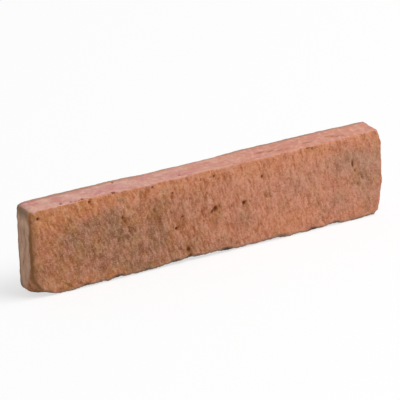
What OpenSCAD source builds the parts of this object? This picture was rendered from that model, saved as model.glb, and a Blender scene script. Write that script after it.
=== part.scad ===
// Concrete brick veneer: a thin slip of cast, coloured concrete with the face
// of a hand-moulded brick. It is one solid piece.
//
// It stands on its lower bed. X runs along its length, +Y points from the show
// face to the flat back that is bonded to the wall, and +Z is up. The origin is
// the middle of the lower bed. All sizes are in millimetres.

/* [Slip] */
// Length from end to end
slip_length = 220; // [180:1:300]
// Height from the lower bed to the upper bed
slip_height = 50; // [40:1:80]
// Thickness from the show face to the back
slip_thickness = 15; // [10:0.5:25]

/* [Rounded corners of the show face] */
// Radius of the lower left corner
lower_left = 5.5; // [4:0.5:18]
// Radius of the lower right corner
lower_right = 5.5; // [4:0.5:18]
// Radius of the upper right corner
upper_right = 7.5; // [4:0.5:18]
// Radius of the upper left corner
upper_left = 4; // [4:0.5:18]

/* [Worn patch at the front of the lower left corner] */
// How far along the foot it runs, from the end
worn_along = 16; // [10:0.5:24]
// How far up the end it runs, from the foot
worn_up = 18; // [10:0.5:24]
// How far back from the show face it would reach on a sharp corner
worn_back = 6.2; // [4:0.2:9]

/* [Arrises] */
// Radius of the arris round the show face
face_arris = 1.8; // [0.5:0.1:3]
// Radius of the arris round the back
back_arris = 0.8; // [0.3:0.1:2]

/* [Hidden] */
$fn = 64;

// The four corners seen from the show face, anticlockwise from the lower left:
// the radius that rounds each one, and the centre of its arc.
corners = [0, 1, 2, 3];
radii = [lower_left, lower_right, upper_right, upper_left];
centres = [
    [-slip_length / 2 + lower_left, lower_left],
    [slip_length / 2 - lower_right, lower_right],
    [slip_length / 2 - upper_right, slip_height - upper_right],
    [-slip_length / 2 + upper_left, slip_height - upper_left],
];

// Side i runs straight from the arc of corner i to the arc of the next corner,
// along X where i is even and along Z where it is odd.
function side_length(i) =
    let (run = centres[(i + 1) % 4] - centres[i]) abs(i % 2 == 0 ? run.x : run.y);

// How far in from the outline a side piece reaches: to the deepest centre.
side_depth = max(radii);

// The quarter of a disc that rounds an arris.
module quarter_disc(r) {
    intersection() {
        circle(r);
        square(r);
    }
}

// The slip in section, from x = 0 out to a side at x = reach, with the back at
// y = 0. The side's two arrises are round.
module edge_section(reach) {
    square([reach - back_arris, slip_thickness - face_arris]);
    square([reach - face_arris, slip_thickness]);
    translate([0, back_arris])
        square([reach, slip_thickness - face_arris - back_arris]);
    translate([reach - face_arris, slip_thickness - face_arris])
        quarter_disc(face_arris);
    translate([reach - back_arris, back_arris])
        mirror([0, 1])
            quarter_disc(back_arris);
}

// A rounded corner: a quarter turn of the section about the centre of its arc.
module corner_piece(i) {
    translate(centres[i])
        rotate([0, 0, 180 + 90 * i])
            rotate_extrude(angle = 90)
                edge_section(radii[i]);
}

// A straight side: the section run from one arc to the next.
module side_piece(i) {
    translate(centres[i])
        rotate([0, 0, 90 * i])
            translate([0, side_depth - radii[i], 0])
                rotate([90, 0, 90])
                    linear_extrude(side_length(i))
                        mirror([1, 0, 0])
                            edge_section(side_depth);
}

// The slip as it lies on its back, with the show face up.
module slip() {
    linear_extrude(slip_thickness)
        polygon(centres);
    for (i = corners) {
        corner_piece(i);
        side_piece(i);
    }
}

// All that lies outside the flat of the worn patch. The flat meets the three
// edges of the sharp corner at the patch's three sizes, so it faces along a
// vector of their inverses.
module worn_patch() {
    out = [-1 / worn_along, -1 / worn_up, 1 / worn_back];
    block = 3 * max(worn_along, worn_up, worn_back);
    translate([worn_along - slip_length / 2, 0, slip_thickness])
        rotate([0, acos(out.z / norm(out)), atan2(out.y, out.x)])
            translate([-block / 2, -block / 2, 0])
                cube(block);
}

module brick_veneer() {
    color("#BC7D5F")
        translate([0, slip_thickness / 2, 0])
            rotate([90, 0, 0])
                difference() {
                    slip();
                    worn_patch();
                }
}

brick_veneer();
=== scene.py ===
"""A concrete brick veneer slip, standing on its lower bed on a pale studio floor."""
import math

import bpy
import numpy as np
from mathutils import Matrix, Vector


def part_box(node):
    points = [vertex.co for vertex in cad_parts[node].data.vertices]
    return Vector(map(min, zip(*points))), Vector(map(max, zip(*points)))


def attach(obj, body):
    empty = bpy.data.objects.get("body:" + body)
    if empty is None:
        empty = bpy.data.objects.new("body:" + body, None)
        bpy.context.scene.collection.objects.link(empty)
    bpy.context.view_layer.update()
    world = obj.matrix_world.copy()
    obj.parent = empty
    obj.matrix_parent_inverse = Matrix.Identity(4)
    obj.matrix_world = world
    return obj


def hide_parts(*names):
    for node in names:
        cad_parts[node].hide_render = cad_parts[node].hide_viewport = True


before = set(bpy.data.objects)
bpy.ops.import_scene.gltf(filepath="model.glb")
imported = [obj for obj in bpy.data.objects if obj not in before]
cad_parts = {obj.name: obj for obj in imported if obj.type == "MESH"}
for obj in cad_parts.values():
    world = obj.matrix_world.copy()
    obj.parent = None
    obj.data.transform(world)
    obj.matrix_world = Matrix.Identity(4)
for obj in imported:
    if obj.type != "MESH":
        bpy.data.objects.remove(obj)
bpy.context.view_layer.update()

# ------------------------------------------------------------------------------
# The slip
#
# One piece of pigmented concrete, cast face down in a flexible mould of an old brick. The
# face keeps that brick's wrinkles, pits and worn corners, the beds and ends are smooth, and
# the back was struck off level while the concrete was wet.
# ------------------------------------------------------------------------------

# Sizes are in mm, with x along the slip, y from the show face to the back, and z up.
MM = 0.001
low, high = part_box("brick_veneer")
length, thickness, height = [side / MM for side in high - low]
left, right = -length / 2, length / 2
front, rear = -thickness / 2, thickness / 2


def graded(count, ease):
    """Steps from 0 up to 1, at t - ease sin(2 pi t) / (2 pi), so that they close up at both ends."""
    t = np.linspace(0, 1, count, endpoint=False)
    return t - ease * np.sin(2 * math.pi * t) / (2 * math.pi)


def block_grid():
    """The surface of a sharp block of the slip's size, as one closed grid of points.

    The rows of the grid are copies of the section's outline, which runs up the show
    face, over the upper bed, down the back and under the lower bed. They are carried
    along x at an even step. At both ends they shrink in rings to the middle of the end,
    by the square root of t, where one last point closes the grid.
    """
    corners = np.array([[front, 0], [front, height], [rear, height], [rear, 0], [front, 0]])
    # Quads up the face, over the upper bed, down the back and under the lower bed.
    steps = [graded(91, 0.0), graded(22, 0.6), graded(40, 0.4), graded(12, 0.6)]
    outline = np.concatenate([
        start + (end - start) * step[:, None]
        for start, end, step in zip(corners, corners[1:], steps)
    ])
    stations, rings = 572, 12
    growing = np.linspace(0, 1, rings + 2)[1:-1] ** 0.5
    scale = np.concatenate([growing, np.ones(stations + 1), growing[::-1]])
    along = np.pad(np.linspace(left, right, stations + 1), rings, mode="edge")
    centre = np.array([0, height / 2])
    section = centre + (outline - centre) * scale[:, None, None]
    along = np.broadcast_to(along[:, None, None], section.shape[:2] + (1,))
    poles = [[left, 0, height / 2], [right, 0, height / 2]]
    points = np.concatenate([np.concatenate([along, section], axis=2).reshape(-1, 3), poles])

    count = len(outline)
    index = np.arange(len(scale) * count).reshape(len(scale), count)
    ahead = np.roll(index, -1, axis=1)
    quads = np.stack([index[:-1], index[1:], ahead[1:], ahead[:-1]], axis=2).reshape(-1, 4)
    left_fan = np.stack([index[0], ahead[0], np.full(count, index.size)], axis=1)
    right_fan = np.stack([ahead[-1], index[-1], np.full(count, index.size + 1)], axis=1)
    return points, quads.tolist() + left_fan.tolist() + right_fan.tolist()


def ramp(value, start, end):
    """0 before start, 1 past end, and 3 t^2 - 2 t^3 between them. Start may lie above end."""
    t = np.clip((value - start) / (end - start), 0, 1)
    return t * t * (3 - 2 * t)


def round_corners(points, corners):
    """Rounds the corners of the outline, each by its own width, height and flatness.

    At a corner, a point at (a, b) of the way out across the corner's rectangle goes to
    (a sqrt(1 - b b / 2), b sqrt(1 - a a / 2)), which makes the outer sides an ellipse,
    mixed by the flatness with (a - a b / 2, b - a b / 2), which makes them a chamfer.

    Returns the points, their depth and the way out, which is square to the outline. The
    depth is the way in from the outline: at a corner it is 1 - max(a, b) of the distance
    from the rectangle's inner corner to the outline's tangent.
    """
    x, y, z = points.T.copy()
    depth = np.minimum(right - abs(x), np.minimum(z, height - z))
    out_x = np.where(depth == right - abs(x), np.sign(x), 0.0)
    out_z = np.where(out_x == 0, np.where(z < height / 2, -1.0, 1.0), 0.0)
    for (side, upper), (wide, tall, flat) in corners.items():
        centre_x = side * (right - wide)
        centre_z = height - tall if upper > 0 else tall
        a = side * (x - centre_x) / wide
        b = upper * (z - centre_z) / tall
        near = (a > 0) & (b > 0)
        a, b = np.clip(a, 0, 1), np.clip(b, 0, 1)
        round_a = (1 - flat) * a * np.sqrt(1 - b * b / 2) + flat * (a - a * b / 2)
        round_b = (1 - flat) * b * np.sqrt(1 - a * a / 2) + flat * (b - a * b / 2)
        reach = np.maximum(a, b) + 1e-9
        slope = np.hypot(round_a * tall, round_b * wide) + 1e-9
        normal_a, normal_b = round_a * tall / slope, round_b * wide / slope
        span = (wide * round_a * normal_a + tall * round_b * normal_b) / reach
        x = np.where(near, centre_x + side * wide * round_a, x)
        z = np.where(near, centre_z + upper * tall * round_b, z)
        depth = np.where(near, span * (1 - reach), depth)
        out_x = np.where(near, side * normal_a, out_x)
        out_z = np.where(near, upper * normal_b, out_z)
    return np.stack([x, y, z], 1), depth, np.stack([out_x, 0 * x, out_z], 1)


def round_arris(points, depth, outward, face_y, radius):
    """Rounds the arris between the outline and the front or back face.

    A point within one radius of the sharp edge, s past it along the surface, goes to the
    angle (s / radius + 1) 45 degrees round a quarter circle that touches both surfaces.
    """
    off = abs(points[:, 1] - face_y)
    near = (depth < radius) & (off < radius)
    angle = np.clip((off - depth) / radius + 1, 0, 2) * math.pi / 4
    new_depth = np.where(near, radius * (1 - np.sin(angle)), depth)
    new_off = np.where(near, radius * (1 - np.cos(angle)), off)
    moved = points + outward * (depth - new_depth)[:, None]
    moved[:, 1] = face_y - math.copysign(1, face_y) * new_off
    return moved


def softened(value, soft):
    """The value above soft, 0 below -soft, and (value + soft)^2 / (4 soft) between them."""
    return np.where(value > soft, value, np.clip(value + soft, 0, None) ** 2 / (4 * soft))


def noise(points, size, seed):
    """Smooth noise of about -1 to 1, in lumps of about the given size.

    Each corner of a cubic lattice holds one of 256 random slopes, and the rises from the
    eight corners round a point are blended by the curve 6 t^5 - 15 t^4 + 10 t^3. The
    blend seldom passes 0.6, so it is raised to fill -1 to 1.
    """
    rng = np.random.default_rng(seed)
    shuffled = rng.permutation(256)
    slopes = rng.normal(size=(256, 3))
    slopes /= np.linalg.norm(slopes, axis=1)[:, None]
    scaled = points / size
    cell = np.floor(scaled).astype(int)
    part = scaled - cell
    fade = part ** 3 * (part * (6 * part - 15) + 10)
    total = np.zeros(len(points))
    for corner in np.ndindex(2, 2, 2):
        pick = np.zeros(len(points), int)
        for axis in range(3):
            pick = shuffled[(pick + cell[:, axis] + corner[axis]) % 256]
        rise = ((part - corner) * slopes[pick]).sum(1)
        total += rise * np.where(corner, fade, 1 - fade).prod(1)
    return total * 1.7


points, faces = block_grid()
x, y, z = points.T

# Four unlike corners, lower left, lower right, upper right and upper left: how wide and tall
# each is rounded, and how flat, from 0 for an ellipse to 1 for a chamfer.
corners = {
    (-1, -1): (5.5, 5.5, 0.0),
    (1, -1): (5.0, 8.0, 0.2),
    (1, 1): (3.5, 8.0, 0.7),
    (-1, 1): (3.1, 3.1, 0.2),
}
points, depth, outward = round_corners(points, corners)

# The arris round the show face is crisp along the upper bed, softer down to the foot, and
# softest round the left end and the two upper corners.
left_side, right_side = ramp(x, -98, -109), ramp(x, 102, 109)
arris = 0.9 + 0.9 * ramp(z, 42, 8) + 1.7 * left_side * ramp(z, 51, 40) + 0.4 * right_side
arris = arris * (1 + 0.4 * noise(points, 9.0, 21)) + 0.4 * ramp(x, 0, 60) * ramp(z, 40, 48)
arris = arris + ramp(z, 41, 48) * (2.0 * ramp(x, -102, -109) + ramp(x, 103, 108))
points = round_arris(points, depth, outward, front, arris)

# The arris round the back is crisp too, but worn along the middle of the upper bed.
back_arris = 0.8 + 0.6 * left_side + 0.9 * ramp(abs(x + 12), 34, 20) * ramp(z, 40, 48)
points = round_arris(points, depth, outward, rear, back_arris)

# The lower left corner is worn off at the front. The arc through a point that touches both
# edges of the corner is u + v + sqrt(2 u v) wide, where u is the point's way in from the end
# and v is 1.2 times its way up from the foot. The surface falls back for each mm that the
# arc is less than 20.5 mm wide, by 0.62 mm along the foot and by 0.46 mm up the end, and
# the thickness closes up behind it.
in_from_end, up_from_foot = np.clip([points[:, 0] - left, 1.2 * points[:, 2]], 0, None)
arc = in_from_end + up_from_foot + np.sqrt(2 * in_from_end * up_from_foot)
fall = 0.62 - 0.16 * up_from_foot / (in_from_end + up_from_foot + 0.1)
fall = fall * softened(20.5 - arc + 0.5 * noise(points, 4.0, 33), 2.0)
points[:, 1] += fall * (rear - points[:, 1]) / thickness

# The left end leans in by 2 mm towards the foot, and the right end wavers by up to 1.5 mm.
# Both have small bumps.
x, y, z = points.T
bumps = 0.3 * noise(points * [0, 0.4, 1], 3.4, 42)
left_lean = 2.1 * (1 - z / height) + 0.1 + bumps
right_lean = np.interp(z, [0, 8, 13, 19, 26, 37, 43, 50], [0.5, 1.1, 0.8, 0.0, 0.8, 1.4, 0.9, 0.6])
right_lean = right_lean + abs(bumps)

# The foot is ragged and chipped, by up to 1.8 mm at the front and less at the back, and the
# upper bed dips by up to 0.6 mm.
across = ramp(y, front, rear)
foot_x = [-88, -73, -63, -59, -50, -36, -26, -17, -8, 1, 12, 27, 40, 46, 58, 65, 71, 79, 86]
foot_z = [0, 0.8, 0.2, 0.9, 0.8, 0.6, 1.0, 1.9, 1.8, 1.6, 0.8, 0.4, 0.9, 0.8, 0.3, 0, 0, 0.9, 0]
foot = np.interp(x, foot_x, foot_z) * (1 - 0.5 * across)
chips = 0.4 * noise(points * [1, 0.3, 0], 4.0, 11) + 0.15 * noise(points * [1, 0.3, 0], 1.7, 34)
foot = np.clip(foot + chips - 0.15, 0, None)
dip_front = np.interp(x, [-110, -10, 40, 75, 110], [0.0, 0.1, 0.5, 0.5, 0.2])
dip_back = np.interp(x, [-110, -55, -38, 12, 25, 80, 110], [0.0, 0.0, 0.35, 0.3, 0.0, 0.0, 0.5])
dip = dip_front * (1 - across) + dip_back * across + 0.12 * noise(points * [1, 0.2, 0], 6.0, 22)
points = np.stack([
    x + left_lean * ramp(x, -60, -108) - right_lean * ramp(x, 60, 108),
    y,
    z + foot * ramp(z, 14, 0) - dip * ramp(z, 30, height),
], 1)

mesh = bpy.data.meshes.new("slip")
mesh.from_pydata((points * MM).tolist(), [], faces)
mesh.update()
normals = np.empty(len(points) * 3)
mesh.vertices.foreach_get("normal", normals)
normals = normals.reshape(-1, 3)

# Which way the surface faces tells the show face, the beds, the back and the ends apart. Over
# the upper arris, level fades the face's relief into the bed's.
x, y, z = points.T
facing_front, facing_up = -normals[:, 1], normals[:, 2]
show = ramp(facing_front, -0.1, 0.5)
upper = ramp(facing_up, 0.6, 0.9)
under = ramp(facing_up, -0.3, -0.9)
back = ramp(-facing_front, 0.5, 0.9)
end = np.clip(1 - show - upper - under - back, 0, 1)
level = ramp(facing_up, 0.0, 0.95)

# The show face's relief: the wrinkled skin of the old brick's sanded clay. Its wrinkles are
# about twice as tall as wide, lean to the right on their way down, by 13 to 23 degrees, and
# have thin fissures along them. Under them lie broad dents and a slow swell.
lean_right = np.interp(x, [-110, -40, 50, 110], [0.42, 0.3, 0.24, 0.36])
stretch = np.interp(x, [20, 80], [2.3, 2.0])
skin = np.stack([x + z * lean_right, y, z / stretch], 1)
skin = skin + 0.5 * np.stack([noise(points, 6.0, 1), 0 * x, noise(points, 6.0, 2)], 1)
rougher = np.interp(x, [-110, 0, 40, 110], [1.3, 1.35, 1.12, 0.87])
wrinkle = 0.45 * noise(skin, 1.5, 3) + 0.3 * noise(skin, 0.95, 4) + 0.35 * noise(skin, 2.9, 5)
fissure = np.exp(-(noise(skin, 2.6, 12) / 0.13) ** 2) * ramp(noise(points, 6.0, 16), 0.1, 0.8)
crinkle = rougher * (wrinkle - 0.6 * fissure)
dents = np.interp(x, [-70, -30, 0], [1.0, 0.8, 1.0]) * noise(points * [1, 1, 0.7], 7.0, 23)
swell = noise(points, 32.0, 6)
relief = show * (1 - level) * (0.36 * crinkle + 0.3 * dents + 0.35 * swell)

# Pits of burst bubbles and torn clay: how far along and up the face, the width and height
# of the hole, its lean in degrees, and its depth.
pits = [
    (5.0, 45.0, 1.4, 1.4, 0, 1.2), (36.0, 47.5, 1.3, 1.3, 0, 1.2),
    (74.0, 47.5, 1.2, 1.2, 0, 1.1), (86.5, 41.5, 1.1, 1.1, 0, 0.9), (97.0, 36.0, 1.0, 1.0, 0, 0.7),
    (103.5, 45.0, 1.0, 1.0, 0, 0.7), (109.5, 45.5, 1.0, 1.0, 0, 0.7), (112.0, 45.5, 1.2, 1.2, 0, 1.0),
    (89.0, 20.5, 1.7, 1.5, 0, 1.2), (92.5, 26.5, 1.7, 1.1, 0, 0.8), (56.0, 34.5, 1.6, 4.0, 22, 0.7),
    (57.5, 31.5, 1.6, 7.0, 30, 0.5), (60.0, 26.5, 1.8, 8.0, 24, 0.4), (75.5, 34.0, 1.8, 5.0, 25, 0.45),
    (77.5, 29.0, 1.8, 9.0, 18, 0.3), (101.5, 12.0, 1.6, 4.0, 8, 0.5), (96.5, 7.0, 3.0, 5.0, 25, 0.8),
    (98.0, 3.5, 2.4, 3.4, -10, 0.6), (113.0, 26.7, 2.9, 3.6, 0, 1.0), (111.0, 25.5, 2.0, 4.0, -40, 0.7),
    (107.0, 24.0, 1.5, 6.0, -20, 0.4), (105.5, 19.5, 1.4, 6.0, 0, 0.35), (123.0, 26.0, 1.5, 2.0, 0, 0.5),
    (131.0, 26.0, 2.4, 2.4, 0, 1.1), (130.5, 24.5, 1.8, 3.4, 20, 0.5), (142.2, 38.6, 1.3, 2.2, 0, 1.0),
    (143.0, 44.5, 1.6, 2.4, 0, 0.4), (171.0, 48.5, 2.2, 1.8, 0, 0.7), (174.0, 47.5, 1.6, 1.4, 0, 0.5),
    (196.0, 41.0, 1.4, 2.4, 0, 0.4), (200.0, 33.0, 1.1, 5.0, 5, 0.9), (201.5, 29.0, 1.4, 3.0, 25, 0.6),
    (204.0, 26.0, 1.8, 2.0, 0, 0.45), (206.0, 24.5, 1.4, 2.6, 20, 0.5), (203.5, 21.0, 2.0, 2.6, 0, 0.45),
    (206.5, 17.5, 2.0, 3.0, 0, 0.4),
]

# Wide shallow hollows, where the clay was torn round the larger pits or folded. A negative
# depth is a swelling.
hollows = [
    (113.0, 24.5, 5.0, 11.0, -32, 0.55), (108.5, 27.0, 4.0, 8.0, 0, -0.3), (132.0, 24.5, 5.0, 6.0, 0, 0.4),
    (123.0, 26.0, 4.0, 4.0, 0, 0.25), (98.0, 5.5, 6.0, 9.0, 20, 0.5), (103.0, 8.0, 4.0, 8.0, 0, -0.3),
    (89.5, 22.0, 5.0, 7.0, 0, 0.3), (58.0, 31.0, 4.0, 14.0, 28, 0.4), (76.5, 30.0, 4.0, 16.0, 20, 0.4),
    (84.0, 18.0, 5.0, 22.0, 8, -0.3), (67.0, 22.0, 5.0, 22.0, 15, -0.3), (102.0, 17.0, 3.0, 16.0, 5, 0.3),
    (144.0, 40.0, 5.0, 9.0, 0, 0.3), (172.5, 48.0, 6.0, 4.0, 0, 0.4), (203.0, 28.0, 5.0, 16.0, 15, 0.4),
]
rim = 1 + 0.5 * noise(points, 1.1, 20)


def sunk(holes):
    """How deep the face sinks: each hole's depth times exp(-rim d^2), the strongest counting.

    Here d is the distance from the hole's middle, in half widths along the slip and half
    heights up it once the hole's lean is taken out, and rim is what makes the rim uneven.
    """
    sinking, rising = np.zeros(len(points)), np.zeros(len(points))
    for hole_x, hole_z, wide, tall, turned, deep in holes:
        turn = math.radians(turned)
        dx, dz = x - (left + hole_x), z - hole_z
        side = (dx * math.cos(turn) + dz * math.sin(turn)) * 2 / wide
        along = (dz * math.cos(turn) - dx * math.sin(turn)) * 2 / tall
        depth_here = deep * show * np.exp(-(side ** 2 + along ** 2) * rim)
        sinking, rising = np.maximum(sinking, depth_here), np.minimum(rising, depth_here)
    return sinking + rising


pitted, torn = sunk(pits), sunk(hollows)
relief = relief - pitted - torn

# The upper bed keeps the mark of the mould's lip: a ledge 0.35 mm high along the back, whose
# edge wanders at the right to near the front. A dark line of painted shade follows the ledge's
# step, fading from the left end to the middle and clear in three stretches at the right.
ledge_x = [-110, -75, -40, 0, 20, 33, 50, 58, 65, 76, 86, 96, 110]
ledge_y = np.interp(x, ledge_x, [5.2, 6.0, 5.0, 4.4, 3.0, -0.8, -3.9, -2.6, -2.0, -0.9, -3.9, 0.2, 3.5])
ledge_y = ledge_y + 0.5 * noise(points * [1, 0, 0], 5.0, 7)
ledge = ramp(y - ledge_y, -0.4, 0.4)
clear_x = [-110, -20, 30, 34, 49, 53, 60, 62, 67, 70, 75, 77, 85, 89]
clear = np.interp(x, clear_x, [0.8, 0.2] + 3 * [0, 1, 1, 0])
ledge_line = upper * np.exp(-((y - ledge_y) / 0.5) ** 2) * clear

# The rest of the bed is smooth, with faint streaks along it, and mottled, most at the left.
streak = noise(np.stack([0.18 * x, y, z], 1), 1.9, 8)
mottled = noise(points * [0.7, 0.8, 1], 6.0, 39) + 0.5 * noise(points * [0.6, 1, 1], 2.4, 40)
mottled = mottled * np.interp(x, [-110, -20, 40], [1.1, 0.8, 0.5])
relief = relief + level * (0.35 * (ledge - 1) + 0.12 * streak + 0.1 * noise(points, 2.2, 24))

# Pinholes of air, most of them near the bed's front edge: how far along, y, and the width.
pinholes = [
    (19.8, -5.1, 1.5), (25.5, -5.6, 1.4), (28, -6.2, 1.2), (30.5, -6.0, 1.3), (32.5, -5.4, 1.8),
    (50.6, -6.6, 2.7), (57, 5.0, 1.2), (92, -4.6, 1.1),
]
for hole_x, hole_y, wide in pinholes:
    reach = np.hypot(x - left - hole_x, y - hole_y) * 2 / wide
    pinhole = np.exp(-reach ** 2) * ramp(facing_up, 0.1, 0.3)
    pitted = np.maximum(pitted, pinhole)
    relief = relief - 0.6 * pinhole

# The ends and the lower bed came off smooth mould walls. The back was struck off along its
# length with a board, which dragged the sand and opened 36 air holes.
relief = relief + (end + under) * 0.14 * noise(points, 5.0, 13)
struck = np.stack([0.05 * x, y, z + 0.02 * x + 0.8 * noise(points, 30.0, 43)], 1)
drag = 0.7 * noise(struck, 2.2, 9) + 0.7 * noise(struck, 4.5, 44)
rng = np.random.default_rng(45)
voids = np.zeros(len(points))
for void_x, void_z, wide in rng.uniform([-104, 3, 1.2], [104, 47, 3.4], (36, 3)):
    reach = np.hypot(x - void_x, z - void_z) * 2 / wide
    voids = np.maximum(voids, back * np.exp(-reach ** 2 * rim))
relief = relief + back * (0.16 * drag - 0.25 + 0.12 * noise(points, 12.0, 10) - 0.9 * voids)

# On an arris the surface sinks by no more than 0.8 of the radius, so that it can't fold over.
# Flat parts may sink by 3 mm more, which cuts no hole short.
radius = np.where(y < 0, arris, back_arris)
flat = ramp(abs(normals).max(1), 0.95, 1.0)
relief = np.maximum(relief, -0.8 * radius - 3.0 * flat)

# The skin stays inside the CAD box.
points = np.clip(points + normals * relief[:, None], np.array(low) / MM, np.array(high) / MM)
mesh.vertices.foreach_set("co", (points * MM).ravel())
mesh.update()

# Where the pigments lie. The face is greyed over its left half and sooty in the midst of that,
# olive at the right end, and warmer in three places.
soft = noise(points, 7.0, 14)


def patches(spots):
    """Patches of exp(-d^3), made uneven by soft, the strongest counting where they meet.

    Each spot is how far along and up the face its middle lies, how far it reaches along and
    up, and how strong it is. Here d is the distance from the middle over the reach.
    """
    cover = np.zeros(len(points))
    for spot_x, spot_z, wide, tall, strong in spots:
        spot = ((x - left - spot_x) / wide) ** 2 + ((z - spot_z) / tall) ** 2
        cover = np.maximum(cover, strong * np.exp(-spot ** 1.5 * (1 + 0.5 * soft)))
    return cover


greyed = patches([
    (28, 28, 12, 10, 0.9), (36, 33, 12, 7, 0.85), (49, 34, 9, 8, 0.9), (55, 26, 15, 12, 1.0),
    (38, 22, 14, 9, 0.7), (77, 18, 8, 20, 0.9), (66, 10, 12, 12, 1.0), (48, 13, 14, 9, 0.9),
    (32, 10, 14, 7, 0.4), (9, 15, 6, 6, 0.5), (92, 26, 14, 16, 0.25), (90, 7, 20, 9, 0.6),
    (112, 5, 16, 6, 0.4), (131, 17, 6, 9, 0.45),
])
olive = patches([
    (197, 36, 15, 8, 0.9), (209, 28, 11, 13, 1.0), (190, 14, 7, 6, 0.6), (166, 29, 12, 8, 0.4),
    (211, 15, 9, 8, 0.6),
])
sooty = patches([(29, 29, 7, 5, 1.0), (36, 33, 5, 4, 0.6), (30, 22, 5, 4, 0.6), (50, 31, 4, 5, 0.4)])
warm = patches([(9, 42, 12, 9, 0.8), (32, 46, 18, 7, 1.2), (160, 9, 17, 8, 0.5)])

# The hue drifts both ways, from rust to olive and from orange to mauve, in strokes along the
# wrinkles and in patches, and most at the left. Dusky patches lie over it, most at the right.
livelier = np.interp(x, [-110, -50, 20, 60, 110], [1.2, 1.1, 0.7, 0.7, 1.0])
rusty = 0.35 * noise(skin, 1.7, 25) + 0.5 * noise(skin, 3.2, 26) + 0.55 * noise(points, 8.0, 27)
rusty = rusty * livelier
orange = 0.35 * noise(skin, 1.8, 28) + 0.5 * noise(skin, 3.4, 29) + 0.6 * noise(points, 9.0, 30)
orange = orange * livelier
dusky = 0.6 * noise(skin, 4.2, 31) + 0.8 * noise(points, 9.5, 37)
dusky = dusky * np.interp(x, [30, 80], [1.0, 1.5])

# How far the bed's colour hangs over the upper arris at each place along it. Where that is
# below 0, the face's colour climbs onto the bed instead.
hanging = np.array([
    (0, -2.5), (3, 0.4), (8, 0), (15, 0.4), (27, 0.4), (33, -1.4), (40, -0.9), (50, 0.1), (65, 0.7),
    (72, 1.3), (77, 0.3), (97, 0.9), (110, 0.2), (121, 1.3), (132, 0.2), (147, 0.9), (155, 0.2),
    (163, 0.7), (170, -0.4), (178, 1), (200, -0.2),
])
skirt = np.interp(x - left, *hanging.T) + 0.5 * noise(points * [1, 0, 0], 3.5, 17)
below_top = (height - z) - (y - front) - skirt + 0.5 * noise(points, 1.8, 15)
painted = ramp(facing_front + upper, 0.0, 0.35) * ramp(below_top, -0.6, 0.8)

# A dirty brown band runs down the left arris, fading out on the face and at the worn corner.
from_end = x - left - left_lean
turning = ramp(facing_front, 0.93, 0.65) * ramp(facing_front, 0.0, 0.35)
unworn = ramp(arc, 13.0, 20.0)
band = turning * ramp(from_end, 8, 4) * (0.35 + 0.65 * unworn)
faded = from_end + 2.0 * soft + 0.7 * noise(points, 2.4, 38)
band = np.maximum(band, 0.5 * ramp(faded, 6.0, 1.0) * (facing_front > 0.5) * unworn)
band = band * ramp(z + soft, 49, 43) * (0.75 + 0.25 * ramp(z, 43, 30))

# The lowest 2 mm of the face are dull, more in some stretches than in others.
above_foot = z - foot + 0.8 * soft + 0.5 * noise(points * [1, 0.4, 0.4], 2.0, 41)
lowest = ramp(above_foot, 2.8, 0.9) * ramp(facing_front, -0.3, 0.2)
lowest = lowest * (0.5 + 0.5 * ramp(soft + 0.6 * streak, -0.6, 0.2)) * unworn

# The left end is streaked up and down, with a dark margin at its back and top, and the right
# end is mottled. The bed and the ends are dull along the back.
margin = np.maximum(ramp(y + 0.5 * soft, 4.2, 6.4), ramp(z + 0.8 * soft, 42, 47))
margin = end * margin * ramp(x, 0, -1)
streaky = noise(points * [1, 1, 0.22], 1.2, 35) + 0.7 * noise(points * [1, 1, 0.4], 2.6, 36)
streaky = np.where(x < 0, streaky, 0.7 * noise(points, 2.2, 46) + 0.4 * noise(points, 1.3, 47))
behind = (upper + end) * ramp(y + 0.6 * soft, 4.2, 6.8) * ramp(facing_up, -0.2, 0.3)

# Painted shade along the front of the lower bed and, in short chipped stretches, on the face's foot.
shaded_chips = patches([
    (8, 0, 5, 9, 0.6), (34, 0, 2, 9, 0.8), (53, 0, 4, 9, 0.8), (71, 0, 2, 9, 0.6), (89, 0, 3, 9, 0.7),
    (97, 0, 2, 9, 0.8), (102, 0, 2, 9, 0.6), (120, 0, 3.5, 9, 1.0), (155, 0, 3, 9, 0.6), (175, 0, 3, 9, 1.0),
    (190, 0, 3, 9, 0.6),
])
shaded_chips = shaded_chips * ramp(z - foot + 0.3 * soft, 2.7, 1.4) * ramp(facing_up, 0.4, 0.1)
underside = ramp(facing_up, -0.06, -0.5) * (0.3 + 0.3 * soft)
at_front = ramp(y + 0.5 * soft + 0.3 * noise(points, 2.4, 48), -4.8, -6.6)
foot_shade = np.maximum(underside, shaded_chips) * at_front

# The material reads each of these by its name. Besides those above, the face is lighter near
# its top, and the whole slip is pinker towards the right.
masks = {
    "painted": painted,
    "end": end,
    "back": back,
    "crinkle": crinkle,
    "drag": drag,
    "voids": voids,
    "pitted": ramp(pitted, 0.1, 0.75),
    "torn": torn,
    "ledge_line": ledge_line,
    "behind": behind,
    "band": band,
    "lowest": lowest,
    "margin": margin,
    "streaky": streaky,
    "streak": streak,
    "mottled": mottled,
    "foot_shade": foot_shade,
    "greyed": greyed,
    "olive": olive,
    "sooty": sooty,
    "warm": warm,
    "rusty": rusty,
    "orange": orange,
    "dusky": dusky,
    "topmost": ramp(z + 2 * soft, 36, 44),
    "pinked": ramp(x, -80, 60),
}
for name, values in masks.items():
    attribute = mesh.attributes.new(name, "FLOAT", "POINT")
    attribute.data.foreach_set("value", values.astype(np.float32))

slip = bpy.data.objects.new("slip", mesh)
bpy.context.scene.collection.objects.link(slip)
mesh.shade_smooth()


def linear(hex_colour):
    """An sRGB hex colour as linear red, green, blue and alpha."""
    parts = [int(hex_colour[i:i + 2], 16) / 255 for i in (1, 3, 5)]
    return [c / 12.92 if c < 0.04045 else ((c + 0.055) / 1.055) ** 2.4 for c in parts] + [1.0]


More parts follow.
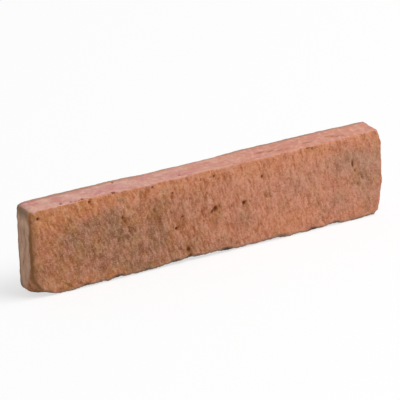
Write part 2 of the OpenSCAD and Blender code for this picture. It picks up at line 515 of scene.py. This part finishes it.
def add(tree, kind, inputs=None, **settings):
    """Adds one node with its settings. An input given as a socket is linked, any other is set."""
    made = tree.nodes.new(kind)
    for name, value in settings.items():
        setattr(made, name, value)
    for key, value in (inputs or {}).items():
        if isinstance(value, bpy.types.NodeSocket):
            tree.links.new(value, made.inputs[key])
        else:
            made.inputs[key].default_value = value
    return made


# The coats of each surface, from the ground up: what places the coat, which is a mask's name
# or the size of a cloud pattern, the values at which it starts and is full, how strongly it
# covers, its colour, and how it is laid on.
bed_coats = [
    (6.0, 0.5, 0.62, 0.65, "#C59598", "MIX"),
    ("pinked", 0.0, 1.0, 1.0, "#C78872", "MIX"),
    ("mottled", 0.0, 0.9, 0.9, "#BD7A78", "MIX"),
    ("mottled", 0.0, -0.9, 0.9, "#D2AB93", "MIX"),
    ("streak", 0.0, 0.9, 0.65, "#C07E62", "MIX"),
    ("streak", 0.0, -0.9, 0.65, "#D29C91", "MIX"),
    (1.7, 0.52, 0.66, 0.5, "#B98A7E", "MIX"),
    (2.2, 0.5, 0.68, 0.5, "#DCAC9C", "MIX"),
    # Painted shade along the ledge's step.
    ("ledge_line", 0.0, 1.0, 0.75, "#8F5A42", "MIX"),
    ("behind", 0.0, 1.0, 0.7, "#957864", "MIX"),
]
end_coats = [
    (2.4, 0.4, 0.65, 0.6, "#C6A290", "MIX"),
    ("pinked", 0.5, 1.0, 0.75, "#C08A74", "MIX"),
    ("streaky", 0.1, 1.0, 0.9, "#D1AC94", "MIX"),
    ("streaky", -0.1, -1.0, 0.95, "#947458", "MIX"),
    ("margin", 0.0, 1.0, 0.85, "#8A6E54", "MIX"),
]
back_coats = [
    # The drag marks' ridges are painted lighter and their grooves darker: painted highlight and shade over
    # the real relief.
    ("drag", 0.1, 1.0, 0.7, "#CBA495", "MIX"),
    ("drag", -0.1, -1.0, 0.6, "#A27B6A", "MIX"),
    (1.4, 0.5, 0.72, 0.5, "#9B7565", "MIX"),
    (0.8, 0.5, 0.72, 0.4, "#D2B0A2", "MIX"),
    # The air holes are painted darker, as painted shade in them.
    ("voids", 0.1, 0.9, 0.85, "#775648", "MIX"),
]
face_coats = [
    ("pinked", 0.0, 1.0, 1.0, "#CD8B70", "MIX"),
    ("topmost", 0.0, 1.0, 0.6, "#D58B63", "MIX"),
    ("warm", 0.0, 1.0, 0.65, "#D08958", "MIX"),
    ("greyed", 0.0, 1.0, 0.95, "#936B51", "MIX"),
    ("olive", 0.0, 1.0, 0.6, "#A78B75", "MIX"),
    ("sooty", 0.0, 1.0, 1.0, "#DDDCC4", "MULTIPLY"),
    ("rusty", 0.0, 1.1, 0.6, "#B7664F", "MIX"),
    ("rusty", 0.0, -1.1, 0.6, "#9B7F50", "MIX"),
    ("orange", 0.0, 1.1, 0.65, "#B97842", "MIX"),
    ("orange", 0.0, -1.1, 0.6, "#BC806D", "MIX"),
    ("dusky", 0.0, -1.2, 0.6, "#D8C8B6", "MULTIPLY"),
    # The wrinkles' hollows are painted darker and their ridges lighter: painted shade and painted highlight
    # over the real relief.
    ("crinkle", 0.1, -0.8, 0.9, "#CDB48E", "MULTIPLY"),
    ("crinkle", 0.0, 0.8, 0.35, "#E7B29B", "MIX"),
    (1.1, 0.5, 0.72, 0.5, "#CDBEAE", "MULTIPLY"),
    (0.8, 0.5, 0.72, 0.3, "#E7B29B", "MIX"),
    # The torn hollows are painted darker, as painted shade in them.
    ("torn", 0.05, 0.5, 0.4, "#A26529", "MIX"),
]
dirt_and_shade_coats = [
    ("lowest", 0.0, 1.0, 0.8, "#957B68", "MIX"),
    ("band", 0.0, 1.0, 0.95, "#845A34", "MIX"),
    # Painted shade along the front of the foot, under the arris and in the chips.
    ("foot_shade", 0.0, 1.0, 1.0, "#4A3728", "MIX"),
    # The pits and pinholes are painted dark: painted shade in the holes, over clay that is darker there too.
    ("pitted", 0.0, 1.0, 0.95, "#632D00", "MIX"),
]

# Where each surface lies, its ground colour, and its coats. The bed is the ground of them all,
# and the dirt and painted shade lie over them all.
surfaces = [
    (None, "#C49286", bed_coats),
    ("end", "#BA9378", end_coats),
    ("back", "#B98C7C", back_coats),
    ("painted", "#B57953", face_coats),
    (None, None, dirt_and_shade_coats),
]


def cast_concrete():
    """Pigmented concrete, cast and brushed with oxides, which gives a matte, sandy and mottled skin.

    A colour mix takes its two colours on sockets 6 and 7 and gives their mix on output 2.
    """
    material = bpy.data.materials.new("pigmented_cast_concrete")
    material.use_nodes = True
    tree = material.node_tree
    shader = tree.nodes["Principled BSDF"]
    place = add(tree, "ShaderNodeTexCoord").outputs["Object"]
    mask = {name: add(tree, "ShaderNodeAttribute", attribute_name=name).outputs["Fac"] for name in masks}

    colour = None
    for region, ground, coats in surfaces:
        finish = linear(ground) if ground else colour
        for source, start, full, strength, tint, blend in coats:
            if source in mask:
                amount = mask[source]
            else:
                scale = 1 / (source * MM)
                cloud = add(tree, "ShaderNodeTexNoise", {"Vector": place, "Scale": scale, "Detail": 1.0})
                amount = cloud.outputs["Fac"]
            span = {"Value": amount, "From Min": start, "From Max": full, "To Max": strength}
            cover = add(tree, "ShaderNodeMapRange", span).outputs["Result"]
            layer = {"Factor": cover, 6: finish, 7: linear(tint)}
            finish = add(tree, "ShaderNodeMix", layer, data_type="RGBA", blend_type=blend).outputs[2]
        if region:
            layer = {"Factor": mask[region], 6: colour, 7: finish}
            finish = add(tree, "ShaderNodeMix", layer, data_type="RGBA").outputs[2]
        colour = finish
    tree.links.new(colour, shader.inputs["Base Color"])

    # Concrete has the IOR of stone, but its open pores swallow most of the gloss.
    shader.inputs["Roughness"].default_value = 0.92
    shader.inputs["IOR"].default_value = 1.5
    shader.inputs["Specular IOR Level"].default_value = 0.2

    # The sand grains, 0.3 mm across, are drawn three times as coarse so that they show.
    sand = add(tree, "ShaderNodeTexNoise", {"Vector": place, "Scale": 1 / (0.9 * MM), "Detail": 2.0})
    grain = {"Height": sand.outputs["Fac"], "Distance": 0.3 * MM, "Strength": 0.7}
    tree.links.new(add(tree, "ShaderNodeBump", grain).outputs["Normal"], shader.inputs["Normal"])
    return material


mesh.materials.append(cast_concrete())
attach(slip, "root")
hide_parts("brick_veneer")

# ------------------------------------------------------------------------------
# The floor
#
# A matt white board, 6 m square. The camera and reflections see it as mostly plain white, and
# the rest of it takes the light and keeps the slip's shadow.
# ------------------------------------------------------------------------------

floor_mesh = bpy.data.meshes.new("floor")
far = 3.0
floor_corners = [(-far, -far, 0), (far, -far, 0), (far, far, 0), (-far, far, 0)]
floor_mesh.from_pydata(floor_corners, [], [(0, 1, 2, 3)])
floor = bpy.data.objects.new("floor", floor_mesh)
bpy.context.scene.collection.objects.link(floor)
board = bpy.data.materials.new("matt_white_board")
board.use_nodes = True
board_shader = board.node_tree.nodes["Principled BSDF"]
board_shader.inputs["Base Color"].default_value = linear("#F3F3F3")
board_shader.inputs["Roughness"].default_value = 1.0
board_shader.inputs["Specular IOR Level"].default_value = 0.0
tree = board.node_tree
seen = add(tree, "ShaderNodeLightPath").outputs
seen = [seen["Is Camera Ray"], seen["Is Glossy Ray"], seen["Is Transmission Ray"]]
straight = add(tree, "ShaderNodeMath", {0: seen[0], 1: seen[1]}, operation="MAXIMUM").outputs[0]
straight = add(tree, "ShaderNodeMath", {0: straight, 1: seen[2]}, operation="MAXIMUM").outputs[0]
share = add(tree, "ShaderNodeMath", {0: straight, 1: 0.65}, operation="MULTIPLY").outputs[0]
white = add(tree, "ShaderNodeEmission", {"Strength": 1.0}).outputs[0]
both = add(tree, "ShaderNodeMixShader", {0: share, 1: board_shader.outputs[0], 2: white}).outputs[0]
tree.links.new(both, tree.nodes["Material Output"].inputs["Surface"])
floor_mesh.materials.append(board)

# ------------------------------------------------------------------------------
# The light and the camera
#
# One large softbox high up in front on the right, in a plain white studio. The camera stands
# far off to the left with a long lens, so that the slip's long edges hardly converge.
# ------------------------------------------------------------------------------

scene = bpy.context.scene
scene.view_settings.view_transform = "Standard"
world = bpy.data.worlds.new("studio")
scene.world = world
world.use_nodes = True
studio_light = world.node_tree.nodes["Background"]
studio_light.inputs["Color"].default_value = linear("#FFFFFF")
studio_light.inputs["Strength"].default_value = 0.35


def stand_off(thing, target, azimuth, elevation, distance, shift=(0, 0)):
    """Stands a lamp or camera off a target, looking at it, then moves it right and up by the shift."""
    a, e = math.radians(azimuth), math.radians(elevation)
    back = np.array([math.sin(a) * math.cos(e), -math.cos(a) * math.cos(e), math.sin(e)])
    across = np.array([math.cos(a), math.sin(a), 0])
    up = np.cross(back, across)
    place = (target + back * distance + across * shift[0] + up * shift[1]) * MM
    rows = [[across[i], up[i], back[i], place[i]] for i in range(3)]
    thing.matrix_world = Matrix(rows + [[0, 0, 0, 1]])
    scene.collection.objects.link(thing)


middle = np.array([0, 0, height / 2])
softbox = bpy.data.lights.new("softbox", "AREA")
softbox.size = 2.5
softbox.energy = 150.0
stand_off(bpy.data.objects.new("softbox", softbox), middle, azimuth=50, elevation=60, distance=4000)

lens = bpy.data.cameras.new("camera")
lens.lens = 405.0
lens.clip_end = 20.0
camera = bpy.data.objects.new("camera", lens)
stand_off(camera, middle, azimuth=-32.07, elevation=22.8, distance=2378, shift=(-1.75, 4.35))
scene.camera = camera
